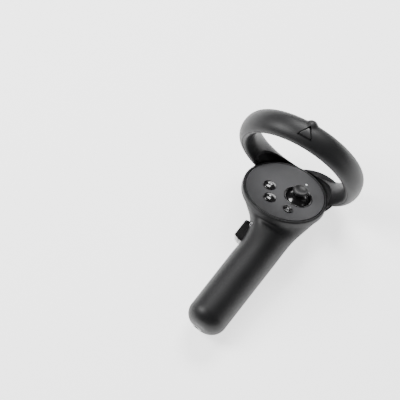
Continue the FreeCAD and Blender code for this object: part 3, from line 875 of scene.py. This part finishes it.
# %% Grip key
KEY_BACK, KEY_REACH = -2.7, 14.4
key_box = [(key_low[0], key_low[2], 1.7), (key_low[0], key_high[2], 1.7),
           (KEY_BACK, key_high[2], 0.4), (KEY_BACK, key_low[2], 0.4)]
key_outline = soft_corners(key_box, 8, closed=True)
key_end = key_low[1] + 0.1
at, inset = end_shrink(9, key_high[1] - key_end, 1.3)
rows = shrink(key_outline, inset)
y = (key_end + at)[:, None] + 0 * rows[..., 0]
points = np.stack([rows[..., 0], y, rows[..., 1]], -1) + FACE
key = new_piece("grip_lever", "grip_key", "gloss_black", *closed_grid(points), replaces=["grip_key"])
hinge = np.array(joints["grip_key_squeeze"]["pos_m"]) / MM
carve(key, [rod(KEY_REACH, hinge - [0, 0, 40], hinge + [0, 0, 40], 128)], "INTERSECT")
carve(key, [rod(PIN_ROOM_R, hinge - [0, 0, 40], hinge + [0, 0, 40]),
            rod(1.55, FACE + [-4.7, -45.0, -8.0], FACE + [-2.4, -45.0, -8.0])])
print("grip key", len(key.data.polygons), "faces")

# %% [markdown]
# ## Floor, light and camera
# The object lies on a pale studio floor that glows a little, so that it stays bright under a
# dark object.  Two large soft lights, from the upper left and from beyond the ring, draw the
# long highlights on the ring and the handle, and a weak one from the right lifts the dark
# edges.  The camera is far away and looks down from the user's right.

# %% Directions of the view
VIEW_RIGHT = np.array([0.806, 0.591, -0.019])
VIEW_BACK = np.array([0.255, -0.318, 0.914])
VIEW_BACK = VIEW_BACK / np.linalg.norm(VIEW_BACK)
VIEW_RIGHT = VIEW_RIGHT - (VIEW_RIGHT @ VIEW_BACK) * VIEW_BACK
VIEW_RIGHT = VIEW_RIGHT / np.linalg.norm(VIEW_RIGHT)
VIEW_UP = np.cross(VIEW_BACK, VIEW_RIGHT)
FRAME_WIDTH = 0.292
DISTANCE = 2.2
SENSOR = 36.0
AIM_LEFT, AIM_DOWN = 0.0623, 0.0062


def facing(right, up, back, place):
    """Matrix whose columns are an object's right, up and backward directions, and its place."""
    return Matrix([[right[i], up[i], back[i], place[i]] for i in range(3)] + [[0, 0, 0, 1]])


aim = FACE * MM - AIM_LEFT * VIEW_RIGHT - AIM_DOWN * VIEW_UP
camera = bpy.data.objects.new("camera", bpy.data.cameras.new("camera"))
camera.data.sensor_width = SENSOR
camera.data.lens = SENSOR * DISTANCE / FRAME_WIDTH
camera.data.clip_end = 20
camera.matrix_world = facing(VIEW_RIGHT, VIEW_UP, VIEW_BACK, aim + DISTANCE * VIEW_BACK)
bpy.context.scene.collection.objects.link(camera)
bpy.context.scene.camera = camera
print("camera", round(camera.data.lens, 1), "mm lens at", np.round(camera.location, 3))


# %% Lights and floor
def softbox(name, way, distance, width, height, power):
    """Area light that looks at the object from a direction given in the view: right, up, back."""
    direction = way[0] * VIEW_RIGHT + way[1] * VIEW_UP + way[2] * VIEW_BACK
    direction = direction / np.linalg.norm(direction)
    light = bpy.data.objects.new(name, bpy.data.lights.new(name, "AREA"))
    light.data.shape = "RECTANGLE"
    light.data.size, light.data.size_y, light.data.energy = width, height, power
    right = np.cross([0, 0, 1.0], direction)
    right = right / np.linalg.norm(right)
    light.matrix_world = facing(right, np.cross(direction, right), direction, direction * distance)
    bpy.context.scene.collection.objects.link(light)


softbox("key_light", (-0.85, 0.65, 0.80), 1.1, 0.45, 0.5, 13.0)
softbox("edge_light", (1.0, -0.30, 0.35), 1.0, 0.2, 0.7, 1.0)
softbox("top_light", (0.22, 1.0, 0.48), 1.2, 0.6, 0.35, 16.0)

world = bpy.data.worlds.new("studio")
world.use_nodes = True
world.node_tree.nodes["Background"].inputs["Color"].default_value = (1, 1, 1, 1)
world.node_tree.nodes["Background"].inputs["Strength"].default_value = 0.10
bpy.context.scene.world = world

floor_make = Maker("studio_floor")
cloud = floor_make.noise(90.0, 2.0)
floor_make.set(Base_Color=floor_make.blend(cloud, (0.90, 0.90, 0.90), (0.92, 0.92, 0.92)))
floor_make.set(Roughness=0.8 + cloud * 0.1)
floor_make.set(Emission_Color=(1, 1, 1, 1), Emission_Strength=1.9)
FLOOR_HALF, FLOOR_DROP, FLOOR_LINES = 3.0 / MM, 0.02, 7
side = np.linspace(-FLOOR_HALF, FLOOR_HALF, FLOOR_LINES)
x, y = np.meshgrid(side, side, indexing="xy")
grid = np.stack([x, y, np.full_like(x, -FLOOR_DROP)], -1).reshape(-1, 3)
step = np.arange(FLOOR_LINES - 1)
first = (step[:, None] * FLOOR_LINES + step).ravel()
floor_faces = np.stack([first, first + 1, first + FLOOR_LINES + 1, first + FLOOR_LINES], -1).tolist()
floor = plain_object("studio_floor", grid, floor_faces)
floor.data.materials.append(floor_make.material)
